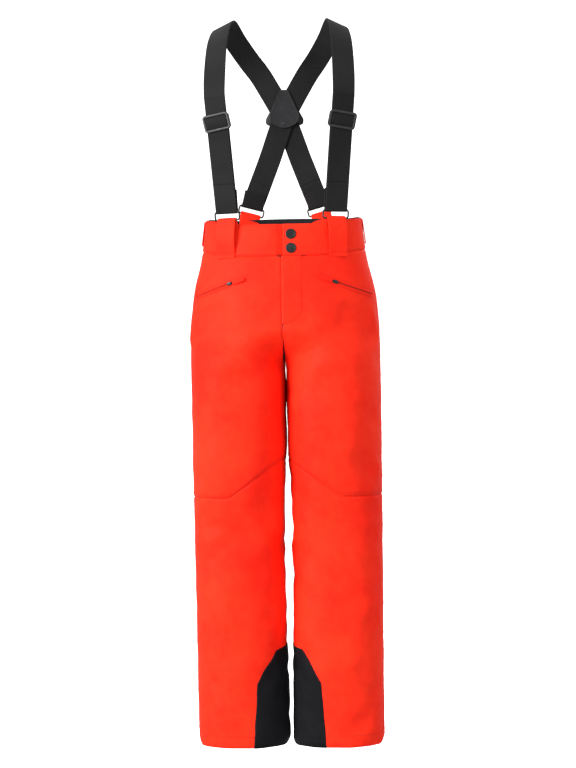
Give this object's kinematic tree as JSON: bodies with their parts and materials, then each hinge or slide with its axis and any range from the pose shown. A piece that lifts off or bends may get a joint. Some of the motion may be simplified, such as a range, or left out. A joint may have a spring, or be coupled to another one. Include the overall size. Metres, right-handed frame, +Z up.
{
  "type": "ski pants",
  "caption": "Child's insulated ski pants with zipped fly and pockets, snap closure, scuff guards and adjustable elastic shoulder straps.",
  "frame": {"origin": "centre of the waist opening, level with the front top edge of the waistband", "axes": "+Z up through the waist opening, -Y the way the wearer faces, +X the wearer's left"},
  "size_m": [0.3026, 0.2178, 1.1529],
  "materials": {
    "shell_cloth": "matt woven shell",
    "shell_trim": "matt tape",
    "black_cloth": "coarse matt weave",
    "webbing": "ribbed elastic webbing",
    "lining": "soft brushed knit",
    "hardware": "moulded satin black",
    "wire": "black lacquered wire"
  },
  "bodies": {
    "trunk": {"front_panel_left": "shell_cloth", "front_panel_right": "shell_cloth", "seat_panel_left": "shell_cloth", "seat_panel_right": "shell_cloth", "hip_fold_left": "shell_cloth", "hip_fold_right": "shell_cloth", "pocket_zip_left": "shell_trim", "pocket_zip_right": "shell_trim", "pocket_bag_left": "lining", "pocket_bag_right": "lining", "belt_loop_front_left": "shell_cloth", "belt_loop_front_right": "shell_cloth", "belt_loop_side_left": "shell_cloth", "belt_loop_side_right": "shell_cloth", "back_tab_left": "shell_cloth", "back_tab_right": "shell_cloth", "strap_left": "webbing", "strap_right": "webbing", "strap_front_end_left": "webbing", "strap_front_end_right": "webbing", "strap_back_end_left": "webbing", "strap_back_end_right": "webbing", "waistband_front_right": "shell_cloth", "waistband_front_left": "shell_cloth", "waistband_back": "shell_cloth", "waistband_lining": "lining", "snap_stud_upper": "hardware", "snap_stud_lower": "hardware", "fly_flap": "shell_cloth", "fly_zip_tape": "black_cloth", "yoke_inner": "hardware", "yoke_outer": "hardware"},
    "thigh_left": {"thigh_left": "shell_cloth", "front_knee_left": "shell_cloth", "back_knee_left": "shell_cloth"},
    "shin_left": {"front_shin_left": "shell_cloth", "back_calf_left": "shell_cloth", "scuff_guard_left": "black_cloth", "snow_gaiter_left": "lining"},
    "pocket_slider_left": {"pocket_slider_left": "hardware"},
    "pocket_pull_left": {"pocket_pull_left": "shell_trim"},
    "strap_adjuster_left": {"strap_adjuster_left": "hardware"},
    "front_ring_left": {"front_ring_left": "wire"},
    "back_ring_left": {"back_ring_left": "wire"},
    "thigh_right": {"thigh_right": "shell_cloth", "front_knee_right": "shell_cloth", "back_knee_right": "shell_cloth"},
    "shin_right": {"front_shin_right": "shell_cloth", "back_calf_right": "shell_cloth", "scuff_guard_right": "black_cloth", "snow_gaiter_right": "lining"},
    "pocket_slider_right": {"pocket_slider_right": "hardware"},
    "pocket_pull_right": {"pocket_pull_right": "shell_trim"},
    "strap_adjuster_right": {"strap_adjuster_right": "hardware"},
    "front_ring_right": {"front_ring_right": "wire"},
    "back_ring_right": {"back_ring_right": "wire"},
    "closure_tab": {"closure_tab": "shell_cloth", "snap_cap_upper": "hardware", "snap_cap_lower": "hardware"},
    "fly_slider": {"fly_zip_slider": "hardware"}
  },
  "joints": [
    {"name": "hip_left", "type": "hinge", "parent": "trunk", "child": "thigh_left", "pos_m": [0, 0, -0.295], "axis": [-1, 0, 0], "range_deg": [-15, 50], "deforming": ["hip_fold_left"]},
    {"name": "knee_left", "type": "hinge", "parent": "thigh_left", "child": "shin_left", "pos_m": [0, 0, -0.5], "axis": [1, 0, 0], "range_deg": [0, 80], "deforming": ["front_knee_left", "back_knee_left"]},
    {"name": "pocket_zip_left", "type": "hinge", "parent": "trunk", "child": "pocket_slider_left", "pos_m": [0.05743, 0.01484, -0.08369], "axis": [0.307, 0, 0.9517], "range_deg": [0, 39]},
    {"name": "pocket_pull_left", "type": "hinge", "parent": "pocket_slider_left", "child": "pocket_pull_left", "pos_m": [0.07873, -0.08622, -0.09056], "axis": [0.307, 0, 0.9517], "range_deg": [0, 150]},
    {"name": "strap_length_left", "type": "slide", "parent": "trunk", "child": "strap_adjuster_left", "axis": [0.0815, -0.083, 0.9932], "range_m": [-0.08, 0.024], "deforming": ["strap_front_end_left"]},
    {"name": "front_ring_left", "type": "hinge", "parent": "trunk", "child": "front_ring_left", "pos_m": [0.08446, -0.07339, 0.00804], "axis": [0.9397, 0.342, 0], "range_deg": [-20, 20], "stiffness_Nm_per_rad": 0.02, "deforming": ["strap_front_end_left"]},
    {"name": "back_ring_left", "type": "hinge", "parent": "trunk", "child": "back_ring_left", "pos_m": [0.05799, 0.08196, 0.02908], "axis": [-0.9454, 0.2183, -0.2419], "range_deg": [-20, 20], "stiffness_Nm_per_rad": 0.02, "deforming": ["strap_back_end_left"]},
    {"name": "hip_right", "type": "hinge", "parent": "trunk", "child": "thigh_right", "pos_m": [0, 0, -0.295], "axis": [-1, 0, 0], "range_deg": [-15, 50], "deforming": ["hip_fold_right"]},
    {"name": "knee_right", "type": "hinge", "parent": "thigh_right", "child": "shin_right", "pos_m": [0, 0, -0.5], "axis": [1, 0, 0], "range_deg": [0, 80], "deforming": ["front_knee_right", "back_knee_right"]},
    {"name": "pocket_zip_right", "type": "hinge", "parent": "trunk", "child": "pocket_slider_right", "pos_m": [-0.05743, 0.01484, -0.08369], "axis": [0.307, 0, -0.9517], "range_deg": [0, 39]},
    {"name": "pocket_pull_right", "type": "hinge", "parent": "pocket_slider_right", "child": "pocket_pull_right", "pos_m": [-0.07873, -0.08622, -0.09056], "axis": [0.307, 0, -0.9517], "range_deg": [0, 150]},
    {"name": "strap_length_right", "type": "slide", "parent": "trunk", "child": "strap_adjuster_right", "axis": [-0.0815, -0.083, 0.9932], "range_m": [-0.08, 0.024], "deforming": ["strap_front_end_right"]},
    {"name": "front_ring_right", "type": "hinge", "parent": "trunk", "child": "front_ring_right", "pos_m": [-0.08446, -0.07339, 0.00804], "axis": [0.9397, -0.342, 0], "range_deg": [-20, 20], "stiffness_Nm_per_rad": 0.02, "deforming": ["strap_front_end_right"]},
    {"name": "back_ring_right", "type": "hinge", "parent": "trunk", "child": "back_ring_right", "pos_m": [-0.05799, 0.08196, 0.02908], "axis": [-0.9454, -0.2183, 0.2419], "range_deg": [-20, 20], "stiffness_Nm_per_rad": 0.02, "deforming": ["strap_back_end_right"]},
    {"name": "waist_closure", "type": "hinge", "parent": "trunk", "child": "closure_tab", "pos_m": [0.038, -0.07965, 0], "axis": [-0.0439, 0.1152, 0.9924], "range_deg": [0, 110]},
    {"name": "fly_zip", "type": "slide", "parent": "trunk", "child": "fly_slider", "axis": [0, -0.1141, -0.9935], "range_m": [0, 0.078]}
  ]
}
